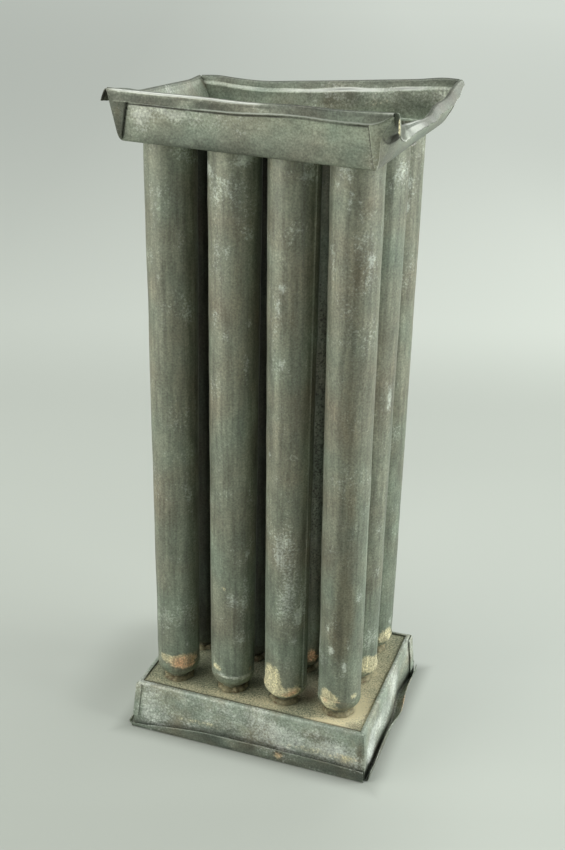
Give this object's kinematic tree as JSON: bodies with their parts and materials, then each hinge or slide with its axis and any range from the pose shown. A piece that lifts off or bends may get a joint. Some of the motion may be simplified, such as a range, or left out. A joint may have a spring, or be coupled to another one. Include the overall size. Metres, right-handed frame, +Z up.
{
  "type": "candle mould",
  "caption": "Free-standing tinplate candle mould: a folded pan feeds rows of tapered tubes with rounded, wick-holed tips, soldered to a flared base.",
  "frame": {"origin": "on the table, at the middle of the foot's outline", "axes": "+Z up along the tubes, +X along the long side to the right as seen from the front, +Y to the back"},
  "size_m": [0.1176, 0.0912, 0.282],
  "materials": {
    "tarnished_tinplate": "dull tarnished tin with oxide bloom",
    "soft_solder": "dull soft solder with wax and rust residue"
  },
  "bodies": {
    "root": {"top_tray": "tarnished_tinplate", "base_skirt": "tarnished_tinplate", "base_plate": "tarnished_tinplate", "barrel_front_1": "tarnished_tinplate", "tip_front_1": "tarnished_tinplate", "mouth_solder_front_1": "soft_solder", "tip_solder_front_1": "soft_solder", "barrel_front_2": "tarnished_tinplate", "tip_front_2": "tarnished_tinplate", "mouth_solder_front_2": "soft_solder", "tip_solder_front_2": "soft_solder", "barrel_front_3": "tarnished_tinplate", "tip_front_3": "tarnished_tinplate", "mouth_solder_front_3": "soft_solder", "tip_solder_front_3": "soft_solder", "barrel_front_4": "tarnished_tinplate", "tip_front_4": "tarnished_tinplate", "mouth_solder_front_4": "soft_solder", "tip_solder_front_4": "soft_solder", "barrel_middle_1": "tarnished_tinplate", "tip_middle_1": "tarnished_tinplate", "mouth_solder_middle_1": "soft_solder", "tip_solder_middle_1": "soft_solder", "barrel_middle_2": "tarnished_tinplate", "tip_middle_2": "tarnished_tinplate", "mouth_solder_middle_2": "soft_solder", "tip_solder_middle_2": "soft_solder", "barrel_middle_3": "tarnished_tinplate", "tip_middle_3": "tarnished_tinplate", "mouth_solder_middle_3": "soft_solder", "tip_solder_middle_3": "soft_solder", "barrel_middle_4": "tarnished_tinplate", "tip_middle_4": "tarnished_tinplate", "mouth_solder_middle_4": "soft_solder", "tip_solder_middle_4": "soft_solder", "barrel_back_1": "tarnished_tinplate", "tip_back_1": "tarnished_tinplate", "mouth_solder_back_1": "soft_solder", "tip_solder_back_1": "soft_solder", "barrel_back_2": "tarnished_tinplate", "tip_back_2": "tarnished_tinplate", "mouth_solder_back_2": "soft_solder", "tip_solder_back_2": "soft_solder", "barrel_back_3": "tarnished_tinplate", "tip_back_3": "tarnished_tinplate", "mouth_solder_back_3": "soft_solder", "tip_solder_back_3": "soft_solder", "barrel_back_4": "tarnished_tinplate", "tip_back_4": "tarnished_tinplate", "mouth_solder_back_4": "soft_solder", "tip_solder_back_4": "soft_solder"}
  },
  "joints": []
}
